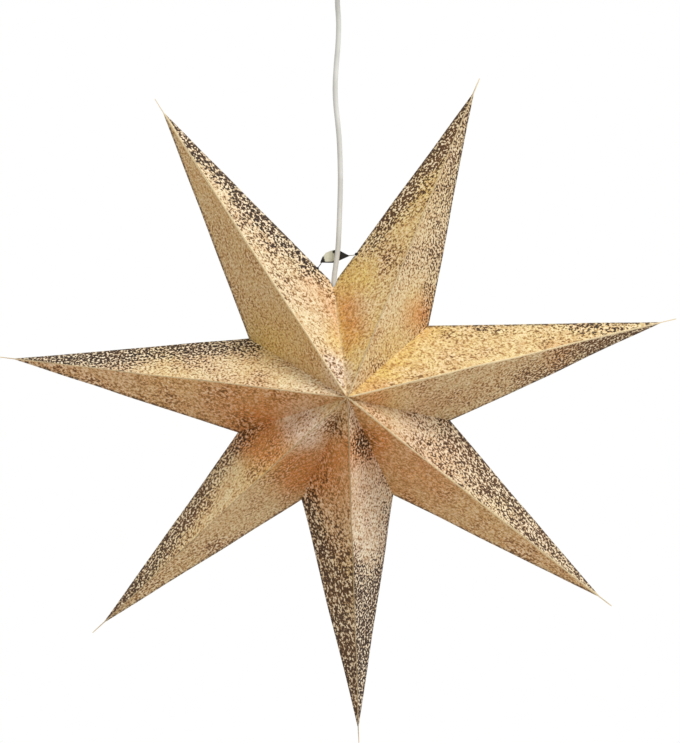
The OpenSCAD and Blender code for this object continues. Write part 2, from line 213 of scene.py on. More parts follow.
# %% Sheath finish
# PVC is extruded in one run: satin, a little grey where light shines into it, with faint lines
# along its length. The lines are 1.2 mm apart, coarser than real so that they show.
sheath, tree, shader = new_material("extruded white PVC", "d8d7d1", 0.42, ior=1.53)
place = add_node(tree, "TexCoord").outputs["Object"]
stretched = add_node(tree, "Mapping", {"Vector": place, "Scale": (1.0, 1.0, 0.12)})
streaks = add_node(tree, "TexNoise", {"Vector": stretched, "Scale": 1 / 0.0012, "Detail": 2.0})
soiled = add_node(tree, "TexNoise", {"Vector": place, "Scale": 1 / 0.03, "Detail": 2.0})
grey = add_node(tree, "MapRange", {"Value": soiled, "From Min": 0.35, "From Max": 0.65})
feed(tree, shader, {
    "Base Color": add_node(tree, "Mix", {0: grey, 6: "c9c8c1", 7: "d9d8d2"}, data_type="RGBA"),
    "Roughness": add_node(tree, "MapRange", {"Value": streaks, "To Min": 0.34, "To Max": 0.5}),
    "Normal": add_node(tree, "Bump", {"Height": streaks, "Strength": 0.3, "Distance": 0.00008}),
})
cord.data.materials.append(sheath)
dress(sheath, "pendant_cord")

# %% [markdown]
# ## The shape of one sheet
# Each point of the star is two sheets of card, glued along their ridges. A sheet has two
# triangles, one in front and one behind, and they meet in the outer fold from a notch to the tip.
# The star's numbers are the CAD's own: how far the tips and notches reach, how deep the star is,
# and the angle between each two points.

# %% Star measures
REACH = 288.0
NOTCH_REACH = 96.5
DEPTH = 75.0
CARD = 0.4
RIDGE_FLANGE = 3.0
VALLEY_FLANGE = 5.0
FLANGE_STOP = 3.0
SEAM_LEAN = 4.5
GAPS = [55.5, 53.5, 51.0, 49.5, 49.5, 50.0]
GAPS.append(360 - sum(GAPS))
EVEN_HALF = math.pi / len(GAPS)
FOLD_LENGTH = math.hypot(
    REACH - NOTCH_REACH * math.cos(EVEN_HALF), NOTCH_REACH * math.sin(EVEN_HALF))
LEFT, RIGHT = 1, -1

directions = [90 + SEAM_LEAN + GAPS[0] / 2]
for gap in GAPS[:-1]:
    directions.append(directions[-1] - gap)


def notch_at(gap):
    """How far the notch lies from the centre in a gap of that many degrees."""
    half = math.radians(gap / 2)
    return REACH * math.cos(half) - math.sqrt(FOLD_LENGTH ** 2 - (REACH * math.sin(half)) ** 2)


print("point directions", [round(d, 2) for d in directions])
print("notches", [round(notch_at(g), 1) for g in GAPS])

# %% Places and edges on a sheet
# The two upper points came out a little longer than the rest when they were folded
TIP_EXTRA = {1: 6.0, 2: 3.0, 4: -3.0, 6: -3.0}
CUTS = 31
ON_LINE = 0.5 * MM


def place_on_star(point, side, u, v, w):
    """A place given out along a point, across it and towards the front, in the room."""
    turn = math.radians(directions[point - 1])
    x = u * math.cos(turn) - side * v * math.sin(turn)
    z = u * math.sin(turn) + side * v * math.cos(turn)
    return STAR + Vector((x, -w, z)) * MM


def place_in_point(point, side, place):
    """The other way round: how far a place lies along, across and in front."""
    turn = math.radians(directions[point - 1])
    x, y, z = (place - STAR) / MM
    return (x * math.cos(turn) + z * math.sin(turn),
            side * (z * math.cos(turn) - x * math.sin(turn)), -y)


def from_line(place, start, end):
    """How far a place is from the line between two others."""
    return (place - start).cross((end - start).normalized()).length


def select_edges(mesh, indices):
    """Selects the edges that join these vertices, and nothing else."""
    chosen = set(indices)
    for polygon in mesh.polygons:
        polygon.select = False
    for vertex in mesh.vertices:
        vertex.select = False
    for edge in mesh.edges:
        edge.select = chosen.issuperset(edge.vertices)


# %% Turn a flange
def turn_flange(mesh, indices, shift, ends):
    """Extrudes a flange from an edge. The ends are its first and last new corner's places."""
    first = mesh.vertices[indices[0]].co.copy()
    select_edges(mesh, indices)
    bpy.ops.object.mode_set(mode="EDIT")
    bpy.ops.mesh.select_mode(type="EDGE")
    bpy.ops.mesh.extrude_edges_move(TRANSFORM_OT_translate={"value": shift})
    bpy.ops.object.mode_set(mode="OBJECT")
    fresh_and_shaded = [v for v in mesh.vertices if v.select]
    fresh_and_shaded.sort(key=lambda v: (v.co - first - shift).length)
    fresh_and_shaded[0].co, fresh_and_shaded[-1].co = ends


# %% Fold one sheet
def fold_sheet(point, side):
    """One sheet of a point, folded and with its four flanges, as a skin with no thickness."""
    gap = GAPS[point - 1] if side == RIGHT else GAPS[point - 2]
    half, reach = math.radians(gap / 2), notch_at(gap)
    out = REACH + TIP_EXTRA.get(point, 0.0)
    k = (1 - reach * math.cos(half) / out) / (reach * math.sin(half))

    def at(u, v, w):
        return place_on_star(point, side, u, v, w)

    def in_valley(r, w):
        return at(r * math.cos(half), r * math.sin(half), w)

    origin, tip, notch = at(0, 0, 0), at(out * (1 - k * CARD), CARD, 0), in_valley(reach, 0)
    deselect_all()
    bpy.ops.mesh.primitive_plane_add(size=REACH * MM, location=(0, 0, 0))
    sheet = bpy.context.object
    mesh = sheet.data
    for vertex, place in zip(mesh.vertices, (notch, at(0, 0, DEPTH), at(0, 0, -DEPTH), tip)):
        vertex.co = place
    bpy.ops.object.mode_set(mode="EDIT")
    bpy.ops.mesh.select_mode(type="VERT")
    bpy.ops.mesh.select_all(action="DESELECT")
    bpy.ops.object.mode_set(mode="OBJECT")
    # The outer fold joins the notch, corner 0, and the tip, corner 3
    mesh.vertices[0].select = mesh.vertices[3].select = True
    bpy.ops.object.mode_set(mode="EDIT")
    bpy.ops.mesh.vert_connect()
    bpy.ops.mesh.select_all(action="SELECT")
    bpy.ops.mesh.subdivide(number_cuts=CUTS)
    bpy.ops.object.mode_set(mode="OBJECT")

    ridge_share = RIDGE_FLANGE * math.hypot(1 / out, 1 / DEPTH)
    valley_share = VALLEY_FLANGE * math.hypot(1 / reach, 1 / DEPTH)
    outer = Vector((1 / out, 1 / DEPTH)).normalized() * RIDGE_FLANGE
    inner = Vector((1 / reach, 1 / DEPTH)).normalized() * VALLEY_FLANGE
    for face in (1, -1):
        centre = at(0, 0, face * DEPTH)
        ridge, valley = (
            sorted((v.index for v in mesh.vertices if from_line(v.co, centre, end) < ON_LINE),
                   key=lambda i: (mesh.vertices[i].co - centre).length)
            for end in (tip, notch))
        # Each pair of ridge flanges meets in the middle of the point, so a ridge keeps
        # one card's thickness from the middle
        for index in ridge[1:]:
            u = place_in_point(point, side, mesh.vertices[index].co)[0]
            w = DEPTH * (1 - u / out - k * CARD)
            mesh.vertices[index].co = at(u, CARD, face * max(w, 0.0))
        turn_flange(mesh, ridge, at(outer.x, 0, face * outer.y) - origin,
                    (at(FLANGE_STOP, CARD, face * DEPTH * (1 + ridge_share - FLANGE_STOP / out)),
                     at(out * (1 + ridge_share), CARD, 0)))
        valley_start = face * DEPTH * (1 - valley_share - FLANGE_STOP / reach)
        turn_flange(mesh, valley, in_valley(-inner.x, -face * inner.y) - origin,
                    (in_valley(FLANGE_STOP, valley_start),
                     in_valley(reach * (1 - valley_share), 0)))
    bpy.ops.object.mode_set(mode="EDIT")
    bpy.ops.mesh.select_all(action="SELECT")
    bpy.ops.mesh.remove_doubles(threshold=MERGE)
    bpy.ops.object.mode_set(mode="OBJECT")
    outward = at(1 / out, k, 1 / DEPTH) - origin
    middle = (at(0, 0, DEPTH) + tip + notch) / 3
    facet = min(mesh.polygons, key=lambda p: (p.center - middle).length)
    if facet.normal.dot(outward) < 0:
        bpy.ops.object.mode_set(mode="EDIT")
        bpy.ops.mesh.select_all(action="SELECT")
        bpy.ops.mesh.flip_normals()
        bpy.ops.object.mode_set(mode="OBJECT")
    return sheet, tip, notch


# %% [markdown]
# ## Where the print is dense, gold or worn, and where light and shade are painted
# The card is printed all over with a fine crackle of foil. The print is denser beside the outer
# folds, and it has soft clouds of yellow gold, rust, brown and pale card. Each sheet gets its plain
# tones first, and these also hold painted shade on the facets turned from the light and painted
# highlight on those that face it. Then soft spots are painted onto the mesh as attributes, as with
# a wide brush. Both were set by comparing renders with the photograph. The shader turns them into
# print later.

# %% Plain tones of the sheets, with painted shade and highlight
# ink is how dense the dark crackle is, and edge and tip are how much denser it is beside the outer
# fold and towards the tip. tan is how much of the card is covered with even gold-brown foil, and
# gold, rust and pale are tints. The values are partly print and partly painted light: tan is
# heaviest on the facets turned from the light, as painted shade, and pale and the dense crackle
# beside the fold are set higher on most facets that face the light, as painted highlight and
# painted reflection of the foil.
SHEET_TONES_AND_SHADING = {
    "point_1_left": dict(ink=0.06, edge=0.08, tip=0.06, tan_and_shade=0.85, gold=0.10),
    "point_1_right": dict(ink=0.23, edge=0.47, tip=0.12, pale=0.30, gold=0.15),
    "point_2_left": dict(ink=0.19, edge=0.42, tip=0.25, tan_and_shade=0.40, gold=0.35),
    "point_2_right": dict(ink=0.22, edge=0.13, tip=0.12, tan_and_shade=0.25, pale=0.25, gold=0.15),
    "point_3_left": dict(ink=0.02, edge=0.20, tip=0.14, gold=0.60, pale=0.05),
    "point_3_right": dict(ink=0.14, edge=0.10, tip=0.62, tan_and_shade=0.62, rust=0.10),
    "point_4_left": dict(ink=0.34, edge=0.15, tip=0.10, tan_and_shade=0.28, pale=0.40, gold=0.12),
    "point_4_right": dict(ink=0.04, edge=0.05, tip=0.05, tan_and_shade=0.95, rust=0.20),
    "point_5_left": dict(ink=0.29, edge=0.16, tip=0.24, pale=0.80),
    "point_5_right": dict(ink=0.31, edge=0.50, tip=0.22, tan_and_shade=0.40, rust=0.30),
    "point_6_left": dict(ink=0.10, edge=0.10, tip=0.10, tan_and_shade=0.75, pale=0.05),
    "point_6_right": dict(ink=0.10, edge=0.47, tip=0.30, tan_and_shade=0.35, gold=0.30),
    "point_7_left": dict(ink=0.12, edge=0.05, tip=0.15, tan_and_shade=0.75, rust=0.45),
    "point_7_right": dict(ink=0.14, edge=0.54, tip=0.25, pale=0.34, gold=0.25),
}
# How pale each point's ridge is, partly rubbed foil and partly painted highlight, and its cut edge
RIDGE_WEAR_AND_HIGHLIGHT = {1: 1.0, 2: 0.45, 3: 0.95, 4: 0.90, 5: 0.15, 6: 0.20, 7: 0.50}
SEAM_WEAR = 0.55
print("tones for", len(SHEET_TONES_AND_SHADING), "sheets")

# %% Soft spots
# Each spot is right of the star's centre, above it, its radius, its tint and its strength
SPOTS = [
    (-74, -35, 18, "rust", 1.7), (-68, -56, 15, "gold", 1.0), (-42, -66, 20, "rust", 1.3),
    (-85, -14, 34, "rust", 0.4), (-6, -85, 24, "rust", 0.4), (-25, 97, 14, "rust", 0.35),
    (1, 82, 13, "rust", 0.6), (3, 66, 12, "rust", 0.6), (5, 50, 11, "rust", 0.5),
    (4, 70, 20, "gold", 0.7), (-5, 48, 14, "gold", 0.9), (8, 106, 18, "gold", 1.0),
    (14, 78, 12, "pale", 0.4), (-5, 17, 9, "pale", 1.0), (-11, 28, 8, "pale", 0.8),
    (-5, 17, 9, "gold", -0.6), (39, 44, 18, "gold", 0.7), (24, 21, 24, "gold", 0.5),
    (24, 0, 16, "rust", 0.5), (66, 72, 15, "rust", 0.9), (70, 76, 22, "gold", 0.9),
    (-70, 40, 26, "gold", 0.9), (-148, 30, 28, "gold", 0.7), (72, 182, 22, "gold", 0.6),
    (48, 150, 20, "gold", 0.4), (5, -157, 24, "gold", 0.7), (5, -157, 26, "ink", 0.3),
    (15, -38, 12, "ink", 0.45), (-12, -24, 9, "ink", 0.35), (137, -84, 22, "ink", 0.2),
    (15, -38, 13, "rust", 0.7), (-8, -48, 20, "rust", 0.7), (-10, -62, 26, "ink", -0.22),
    (20, -80, 26, "ink", -0.15), (44, -22, 26, "ink", -0.18), (36, -16, 20, "gold", 0.5),
    (225, 44, 38, "ink", 0.1), (188, 36, 14, "rust", 0.6), (10, -215, 34, "ink", 0.15),
    (24, -125, 22, "ink", -0.25), (60, -26, 34, "pale", 0.3), (-36, -27, 20, "pale", 1.4),
    (-38, -28, 24, "ink", -0.15),
    (70, -64, 28, "rust", 0.5), (28, -38, 20, "rust", 0.6), (137, -84, 20, "gold", 0.5),
    (-115, 193, 34, "ink", -0.24), (-9, 98, 20, "ink", -0.35), (8, 112, 20, "ink", -0.40),
    (-26, 76, 26, "ink", -0.15), (18, 66, 24, "ink", -0.28), (64, 74, 18, "ink", -0.25),
]
SPOT_END = 2.5
CHANNELS = ("ink", "tan_and_shade", "gold", "rust", "pale")
BAND_FROM_FOLD = 8.0
BAND_WIDTH = 12.0
TIP_FROM = 130.0
CALM_CENTRE = 0.5
CALM_TO = 90.0
ROOM_BETWEEN_SHEETS = 0.1


def tones_at(tones, x, z, from_fold):
    """The print's tones at a place: the sheet's own, its outer band, its tip and the spots."""
    values = {channel: tones.get(channel, 0.0) for channel in CHANNELS}
    values["ink"] += tones["edge"] * math.exp(-((from_fold - BAND_FROM_FOLD) / BAND_WIDTH) ** 2)
    to_tip = (math.hypot(x, z) - TIP_FROM) / (REACH - TIP_FROM)
    values["ink"] += tones["tip"] * min(max(to_tip, 0.0), 1.0)
    values["ink"] *= CALM_CENTRE + (1 - CALM_CENTRE) * min(math.hypot(x, z) / CALM_TO, 1.0)
    for spot_x, spot_z, radius, channel, strength in SPOTS:
        far = math.hypot(x - spot_x, z - spot_z) / radius
        if far < SPOT_END:
            values[channel] += strength * math.exp(-far * far)
    return values


print("soft spots", len(SPOTS))

# %% Paint one sheet
RIDGE_SIDE = 1.2 * CARD
RIDGE_OVER = 0.5
SEAM_NEAR = 0.1
SEAM_FROM = 8.0
WEAR_DIP = 0.15
WEAR_WAVE = 0.11  # radians for each millimetre along the ridge
NEEDLE_FROM = 0.97


def rub_and_highlight_edges(mesh, point, side, seam):
    """Writes where the ridges are rubbed and given a painted highlight, and how pale the cut edges
    are.
    """
    worn_and_highlight = mesh.attributes.new("worn_and_highlight", "FLOAT", "POINT")
    worn_values, cut_values = [], []
    half = math.radians((seam or 0) / 2)
    out = REACH + TIP_EXTRA.get(point, 0.0)
    for vertex in mesh.vertices:
        u, v, w = place_in_point(point, side, vertex.co)
        below_ridge = abs(w) < DEPTH * (1 - u / out) + RIDGE_OVER
        on_ridge = 1 < u <= out and v < RIDGE_SIDE and below_ridge
        off_seam = abs(v * math.cos(half) - u * math.sin(half))
        on_seam = seam and off_seam < SEAM_NEAR and abs(w) > SEAM_FROM
        wave = 1 - WEAR_DIP + WEAR_DIP * math.sin(WEAR_WAVE * u + 2 * point)
        worn_values.append(RIDGE_WEAR_AND_HIGHLIGHT[point] * wave if on_ridge else SEAM_WEAR if on_seam else 0.0)
        cut_values.append(1.0 if u > NEEDLE_FROM * out else RIDGE_WEAR_AND_HIGHLIGHT[point])
    worn_and_highlight.data.foreach_set("value", worn_values)
    mesh.attributes.new("cut", "FLOAT", "POINT").data.foreach_set("value", cut_values)


def paint_print(mesh, point, side, number, tip, notch, tones):
    """Writes the card's flat coordinates and the print's tones onto the mesh."""
    along = (tip - notch).normalized()
    flat, painted = [], {channel: [] for channel in CHANNELS}
    for vertex in mesh.vertices:
        offset = vertex.co - notch
        down_fold = offset.dot(along)
        from_fold = (offset - along * down_fold).length
        in_front = vertex.co.y <= STAR.y
        flat += (down_fold, from_fold if in_front else -from_fold, ROOM_BETWEEN_SHEETS * number)
        place = (vertex.co - STAR) / MM
        for channel, value in tones_at(tones, place.x, place.z, from_fold / MM).items():
            painted[channel].append(value)
    mesh.attributes.new("card", "FLOAT_VECTOR", "POINT").data.foreach_set("vector", flat)
    for channel, values in painted.items():
        mesh.attributes.new(channel, "FLOAT", "POINT").data.foreach_set("value", values)


# %% [markdown]
# ## The finish of printed card
# The real card is ivory paper with a crackle of gold foil stamped over it. Foil is a metal film,
# so the gold and brown parts get some metallic sheen, and the bare card between them is matt.
# The crackle is drawn from noise. Its high parts are dark spots about 3.5 mm apart, as on the real
# sheet, with a brown halo round them, and its low parts are pale flecks of bare card. The ink
# attribute moves the limit between them.

# %% Noises on the card
printed, tree, shader = new_material("gold foil print on ivory card", "e6d2a4", 0.5)
card = add_node(tree, "Attribute", attribute_name="card").outputs["Vector"]
tone = {c: add_node(tree, "Attribute", attribute_name=c).outputs["Fac"]
        for c in (*CHANNELS, "worn_and_highlight")}
NOISES = {  # size of its cells in metres, detail, distortion
    "blotch": (0.0021, 1.3, 0.2),
    "patch": (0.0060, 2.0, 0.3),
    "cloud": (0.0280, 3.0, 0.0),
    "grain": (0.0012, 1.0, 0.0),
}
noise = {
    name: add_node(tree, "TexNoise", {"Vector": card, "Scale": 1 / size, "Detail": detail,
                                      "Roughness": 0.55, "Distortion": distortion})
    for name, (size, detail, distortion) in NOISES.items()
}
clouds = add_node(tree, "Math", {0: noise["cloud"], 1: 0.5}, operation="SUBTRACT")
print("noises", ", ".join(noise))

# %% Masks of the crackle
MOST_INK = 0.70
INK_PUSH = 0.24
density = add_node(tree, "Math", {0: tone["ink"], 1: clouds}, operation="ADD")
density = add_node(tree, "Clamp", {"Value": density, "Min": 0.0, "Max": MOST_INK})
pushed = add_node(tree, "Math", {0: density, 1: INK_PUSH, 2: noise["blotch"]},
                  operation="MULTIPLY_ADD")
spots = add_node(tree, "MapRange", {"Value": pushed, "From Min": 0.58, "From Max": 0.68},
                 interpolation_type="SMOOTHSTEP")
halo = add_node(tree, "MapRange", {"Value": pushed, "From Min": 0.50, "From Max": 0.64,
                                   "To Max": 0.55}, interpolation_type="SMOOTHSTEP")
flecks = add_node(tree, "MapRange", {"Value": noise["blotch"], "From Min": 0.46,
                                     "From Max": 0.36}, interpolation_type="SMOOTHSTEP")
fleck_share = add_node(tree, "MapRange", {"Value": density, "From Max": MOST_INK,
                                          "To Min": 0.25, "To Max": 0.75})
flecks = add_node(tree, "Math", {0: flecks, 1: fleck_share}, operation="MULTIPLY")
from_fold = add_node(tree, "SeparateXYZ", {"Vector": card}).outputs["Y"]
from_fold = add_node(tree, "Math", {0: from_fold}, operation="ABSOLUTE")
outline = add_node(tree, "MapRange", {"Value": from_fold, "From Min": 0.0034,
                                      "From Max": 0.0015, "To Max": 0.80})
dashes = add_node(tree, "MapRange", {"Value": noise["blotch"], "From Min": 0.42,
                                     "From Max": 0.52, "To Min": 0.3})
outline = add_node(tree, "Math", {0: outline, 1: dashes}, operation="MULTIPLY")

# %% Colours of the print
GROUND = ("d8c08d", "f0e2bc")
# On the facets turned from the light, the tan tint is painted shade as well as foil
TINTS = [  # channel, strength, dark grain, pale grain
    ("tan_and_shade", 0.95, "b88e5a", "debc83"),
    ("gold", 0.85, "cea240", "eed47a"),
    ("pale", 1.0, "dac3a6", "f5e9d8"),
    ("rust", 0.85, "b25a17", "e6923a"),
]
fine = add_node(tree, "MapRange", {"Value": noise["grain"], "From Min": 0.35, "From Max": 0.65})
ground = add_node(tree, "Mix", {0: fine, 6: GROUND[0], 7: GROUND[1]}, data_type="RGBA")
shares = {}
for channel, strength, dark, pale in TINTS:
    shares[channel] = add_node(tree, "Math", {0: tone[channel], 1: clouds}, operation="ADD",
                               use_clamp=True)
    share = add_node(tree, "Math", {0: shares[channel], 1: strength}, operation="MULTIPLY")
    tint = add_node(tree, "Mix", {0: fine, 6: dark, 7: pale}, data_type="RGBA")
    ground = add_node(tree, "Mix", {0: share, 6: ground, 7: tint}, data_type="RGBA")
ink = add_node(tree, "Mix", {0: shares["tan_and_shade"], 6: "2b1a0c", 7: "6f4820"}, data_type="RGBA")
heavy = add_node(tree, "MapRange", {"Value": density, "From Min": 0.02, "From Max": 0.34})
ink = add_node(tree, "Mix", {0: heavy, 6: "a87a42", 7: ink}, data_type="RGBA")
mottle = add_node(tree, "MapRange", {"Value": noise["patch"], "From Min": 0.42,
                                     "From Max": 0.68, "To Max": 0.45})
LAYERS = [  # where it lies, and its colour
    (mottle, "bd8644"), (halo, "96693a"), (spots, ink), (flecks, "f9ebcf"), (outline, "453424"),
]
for mask, colour in LAYERS:
    ground = add_node(tree, "Mix", {0: mask, 6: ground, 7: colour}, data_type="RGBA")

# %% Rubbed ridges with painted highlight, sheen and relief
# The pale line along the ridges is partly rubbed foil and partly painted highlight
rub_and_highlight = add_node(tree, "Math", {0: tone["worn_and_highlight"], 1: 1.6, 2: -0.95}, operation="MULTIPLY_ADD")
rub_and_highlight = add_node(tree, "Math", {0: rub_and_highlight, 1: noise["patch"]}, operation="ADD", use_clamp=True)
rub_and_highlight = add_node(tree, "Math", {0: rub_and_highlight, 1: 0.85}, operation="MULTIPLY")
foil = add_node(tree, "Math", {0: shares["tan_and_shade"], 1: spots}, operation="MAXIMUM")
foil = add_node(tree, "Math", {0: foil, 1: 0.25}, operation="MULTIPLY")
feed(tree, shader, {
    "Base Color": add_node(tree, "Mix", {0: rub_and_highlight, 6: ground, 7: "f0dcb2"}, data_type="RGBA"),
    "Metallic": foil,
    "Specular IOR Level": 0.3,
    "Roughness": add_node(tree, "MapRange", {"Value": noise["grain"], "From Min": 0.3,
                                             "From Max": 0.7, "To Min": 0.38, "To Max": 0.58}),
    "Normal": add_node(tree, "Bump", {"Height": spots, "Strength": 0.25, "Distance": 0.00008}),
})
print("print nodes", len(tree.nodes))

# %% Bare card
# The inner side and the cut edges are plain paper board: matt, with fine fibres. The edges are
# cream where they are fresh, and brown where foil and glue went over them. The fresh cream is
# darker than the inner side, as painted shade on the thin edges.
bare_card, tree, shader = new_material("uncoated ivory card", "efe5cf", 0.85)
place = add_node(tree, "TexCoord").outputs["Object"]
fibres = add_node(tree, "TexNoise", {"Vector": place, "Scale": 1 / 0.0011, "Detail": 3.0})
cut = add_node(tree, "Attribute", attribute_name="cut").outputs["Fac"]
old = add_node(tree, "Mix", {0: fibres, 6: "8d7350", 7: "bb9d70"}, data_type="RGBA")
fresh_and_shaded = add_node(tree, "Mix", {0: fibres, 6: "d6bf92", 7: "f1deb4"}, data_type="RGBA")
feed(tree, shader, {
    "Base Color": add_node(tree, "Mix", {0: cut, 6: old, 7: fresh_and_shaded}, data_type="RGBA"),
    "Normal": add_node(tree, "Bump", {"Height": fibres, "Strength": 0.3, "Distance": 0.00005}),
})

# %% [markdown]
# ## Thickness and life
# A folded sheet isn't quite flat. Displace moves the whole star by a soft noise of up to half a
# millimetre, the same for all sheets, so that glued edges stay together. The free middle of each
# facet bows a little more. Solidify then gives the card its thickness to the inside, and shows
# the bare card on its cut edges and inner side.

# %% Shape modifiers
def soft_noise(name, size):
    """A cloud texture for Displace, with soft shapes of that size in metres."""
    texture = bpy.data.textures.new(name, "CLOUDS")
    texture.noise_scale = size
    texture.noise_depth = 1
    texture.cloud_type = "COLOR"
    return texture


DRIFT = soft_noise("star drift", 0.07)
BOW = soft_noise("facet bow", 0.045)
RIPPLE = soft_noise("seam ripple", 0.012)
BOW_STRENGTH = 3.0 * MM
DRIFT_STRENGTH = 1.6 * MM
RIPPLE_STRENGTH = 2.4 * MM
FREE_FROM_EDGE = 12.0
SEAM_SIDE = 8.0


def add_modifier(piece, kind, **settings):
    """Adds a modifier with its settings and applies it."""
    modifier = piece.modifiers.new(kind.lower(), kind)
    for name, value in settings.items():
        setattr(modifier, name, value)
    bpy.context.view_layer.objects.active = piece
    bpy.ops.object.modifier_apply(modifier=modifier.name)


def group_of(piece, name, weights):
    """A vertex group with a weight for each vertex."""
    group = piece.vertex_groups.new(name=name)
    for index, weight in enumerate(weights):
        if weight > 0:
            group.add([index], min(weight, 1.0), "REPLACE")
    return name


# %% [markdown]
# ## The holes at the seam
# The last two sheets aren't glued to each other. The cord comes out between them, and the tie
# goes through a punched hole in the fold of each. A Boolean with a cylinder cuts each of them
# once the card has its thickness, so that the cut shows bare card.

# %% Cut the seam sheets
CORD_HOLE = 6.0
CORD_HOLE_TOP = 119.0
TIE_HOLE = 4.0
TIE_UP = {(1, RIGHT): 19.5, (2, LEFT): 32.5}
PUNCH = 4.0


def fold_place(point, side, up, inside):
    """A place on an outer fold beside the seam, up from the notch and inside the fold."""
    half, seam = math.radians(GAPS[0] / 2), notch_at(GAPS[0])
    notch = Vector((seam * math.cos(half), seam * math.sin(half)))
    along = (Vector((REACH, 0)) - notch) / FOLD_LENGTH
    place = notch + up * along + inside * Vector((along.y, -along.x))
    return place_on_star(point, side, place.x, place.y, 0)


def drill(piece, start, end, diameter):
    """Cuts a round hole from one place to another."""
    axis = end - start
    deselect_all()
    bpy.ops.mesh.primitive_cylinder_add(
        vertices=24, radius=diameter / 2 * MM, depth=axis.length, location=(start + end) / 2,
        rotation=axis.to_track_quat("Z", "Y").to_euler())
    cutter = bpy.context.object
    cutter.data.materials.append(bare_card)
    add_modifier(piece, "BOOLEAN", object=cutter, operation="DIFFERENCE", solver="EXACT",
                 material_mode="TRANSFER", use_self=True, use_hole_tolerant=True)
    bpy.data.objects.remove(cutter)


# %% Fold all fourteen
SHEETS = [(p, side) for p in range(1, 8) for side in (LEFT, RIGHT)]
front, back = (STAR + Vector((0, y * MM, 0)) for y in (-DEPTH, DEPTH))
faces_made = 0
for number, (point, side) in enumerate(SHEETS):
    name = f"point_{point}_{'left' if side == LEFT else 'right'}"
    sheet, tip, notch = fold_sheet(point, side)
    mesh = sheet.data
    sheet.name = mesh.name = "card_" + name
    seam = GAPS[0] if (point, side) in TIE_UP else None
    mesh.materials.append(printed)
    mesh.materials.append(bare_card)
    rub_and_highlight_edges(mesh, point, side, seam)
    edges = [(front, tip), (back, tip), (front, notch), (back, notch), (tip, notch)]
    free = [min(from_line(v.co, *edge) for edge in edges) / MM / FREE_FROM_EDGE
            for v in mesh.vertices]
    near_seam = [1 - from_line(v.co, front, notch) / MM / SEAM_SIDE for v in mesh.vertices]
    free, near_seam = group_of(sheet, "free", free), group_of(sheet, "seam", near_seam)
    deselect_all()
    sheet.select_set(True)
    add_modifier(sheet, "DISPLACE", texture=BOW, texture_coords="LOCAL", direction="NORMAL",
                 vertex_group=free, strength=BOW_STRENGTH)
    add_modifier(sheet, "DISPLACE", texture=DRIFT, texture_coords="LOCAL",
                 direction="RGB_TO_XYZ", strength=DRIFT_STRENGTH)
    if seam:
        add_modifier(sheet, "DISPLACE", texture=RIPPLE, texture_coords="LOCAL",
                     direction="RGB_TO_XYZ", vertex_group=near_seam,
                     strength=RIPPLE_STRENGTH)
    add_modifier(sheet, "SOLIDIFY", thickness=CARD * MM, offset=-1.0, material_offset=1,
                 material_offset_rim=1)
    if seam:
        up = TIE_UP[point, side]
        drill(sheet, fold_place(point, side, up, PUNCH), fold_place(point, side, up, -PUNCH),
              TIE_HOLE)
        drill(sheet, Vector((HOLDER_X * MM, 0, BUSH_TOP_Z * MM)),
              Vector((HOLDER_X * MM, 0, STAR.z + CORD_HOLE_TOP * MM)), CORD_HOLE)
    sheet.vertex_groups.clear()
    paint_print(mesh, point, side, number, tip, notch, SHEET_TONES_AND_SHADING[name])
    faces_made += len(mesh.polygons)
    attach(sheet, "root")
    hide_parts(name)
print("sheets", len(SHEETS), "faces", faces_made)

# %% [markdown]
# ## The tie that closes the seam
# A short flat ribbon behind the cord holds the two sheets together. It is cream in the middle
# and black at its ends, and thin threads run from its ends through the punched holes to knots
# inside. The ribbon starts as a grid that is pulled to its long outline. The threads are tubes,
# made as the cord is, and each knot is a small ball with wound relief.

# %% Ribbon
BOW_BEHIND = 3.0
RIBBON = 0.6
RIBBON_WAVE = 0.8
RIBBON_WAVE_TURN = 0.5  # radians for each millimetre across the star
RIBBON_OUTLINE = [  # right of the star's centre, and the lower and upper edge above it
    (-19.2, 117.5, 118.2), (-17.5, 117.5, 122.4), (-14.5, 117.5, 126.2), (-10.2, 117.5, 128.1),
    (-6.7, 117.6, 128.7), (-1.5, 120.0, 127.6), (5.9, 123.4, 124.0),
]
CORD_X = HOLDER_X - STAR.x / MM


def ribbon_edges(x):
    """The heights of the ribbon's lower and upper edge."""
    for (x0, *start), (x1, *end) in zip(RIBBON_OUTLINE, RIBBON_OUTLINE[1:]):
        if x <= x1:
            share = (x - x0) / (x1 - x0)
            return [a + (b - a) * share for a, b in zip(start, end)]
    return RIBBON_OUTLINE[-1][1:]


deselect_all()
bpy.ops.mesh.primitive_grid_add(x_subdivisions=44, y_subdivisions=14, size=MM,
                                location=(0, 0, 0))
tie = bpy.context.object
tie.name = tie.data.name = "seam_tie"
ribbon_start, ribbon_end = RIBBON_OUTLINE[0][0], RIBBON_OUTLINE[-1][0]
for vertex in tie.data.vertices:
    along, across = vertex.co.x / MM + 0.5, vertex.co.y / MM + 0.5
    x = ribbon_start + (ribbon_end - ribbon_start) * along
    low, high = ribbon_edges(x)
    behind = BOW_BEHIND + RIBBON_WAVE * (1 + math.sin(RIBBON_WAVE_TURN * x))
    vertex.co = STAR + Vector((x, behind, low + (high - low) * across)) * MM
add_modifier(tie, "SOLIDIFY", thickness=RIBBON * MM, offset=0.0)
print("ribbon faces", len(tie.data.polygons))

